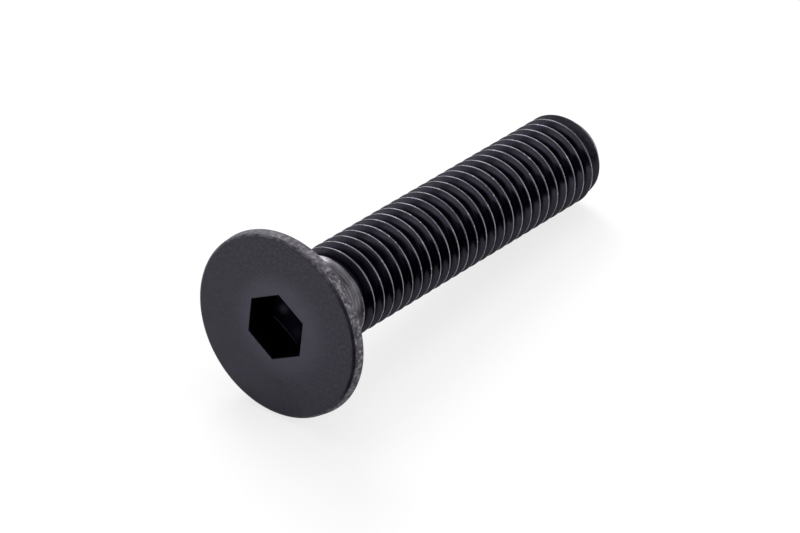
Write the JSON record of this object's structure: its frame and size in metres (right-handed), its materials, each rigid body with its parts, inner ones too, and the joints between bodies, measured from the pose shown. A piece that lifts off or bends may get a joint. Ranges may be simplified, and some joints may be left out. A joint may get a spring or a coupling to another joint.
{
  "type": "countersunk socket screw",
  "caption": "Flat-topped countersunk machine screw with a hexagon socket in its conical head and a right-hand metric thread almost to the head.",
  "frame": {"origin": "centre of the head's flat face, where the screw's axis meets it", "axes": "+Z along the screw's axis, from the head's face to the tip of the thread; +X through one corner of the hexagon socket"},
  "size_m": [0.0158, 0.0158, 0.0396],
  "materials": {
    "black_oxide": "alloy steel with a dark oiled black-oxide finish, matte on the head's face and satin on the rolled thread"
  },
  "bodies": {
    "root": {"screw": "black_oxide"}
  },
  "joints": []
}
